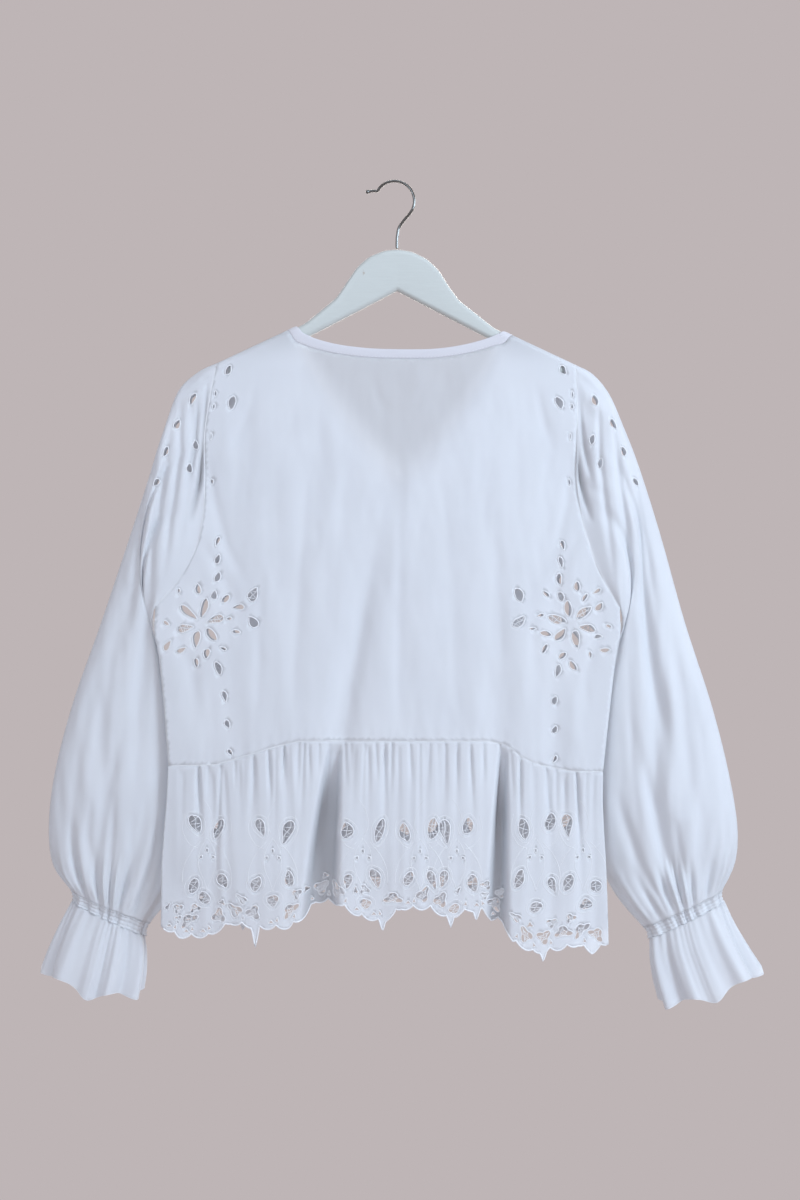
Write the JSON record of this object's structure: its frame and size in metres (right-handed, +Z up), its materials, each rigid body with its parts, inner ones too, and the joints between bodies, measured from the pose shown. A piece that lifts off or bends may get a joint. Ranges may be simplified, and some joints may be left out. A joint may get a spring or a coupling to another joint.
{
  "type": "peplum blouse on a hanger",
  "caption": "White cotton blouse with balloon sleeves, gathered cuffs, cutwork and a gathered scalloped peplum, hanging on a wooden hanger with a wire hook.",
  "frame": {"origin": "inside top of the hook, where it rests on a rail", "axes": "+Z up, -Y out of the blouse's back, which faces the camera, +X towards the sleeve at the right of that view"},
  "size_m": [0.7987, 0.0657, 0.9132],
  "materials": {
    "white_cotton": "matte woven cotton",
    "cotton_binding": "matte folded cotton",
    "white_painted_wood": "satin white paint",
    "chromed_wire": "polished"
  },
  "bodies": {
    "root": {"bodice_back": "white_cotton", "bodice_front": "white_cotton", "peplum_back": "white_cotton", "peplum_front": "white_cotton", "sleeve_left_back": "white_cotton", "sleeve_left_front": "white_cotton", "sleeve_right_back": "white_cotton", "sleeve_right_front": "white_cotton", "cuff_shirring_left": "white_cotton", "cuff_shirring_right": "white_cotton", "cuff_ruffle_left": "white_cotton", "cuff_ruffle_right": "white_cotton", "neck_binding_back": "cotton_binding", "neck_binding_front": "cotton_binding", "hanger_body": "white_painted_wood", "hanger_hook": "chromed_wire"}
  },
  "joints": []
}
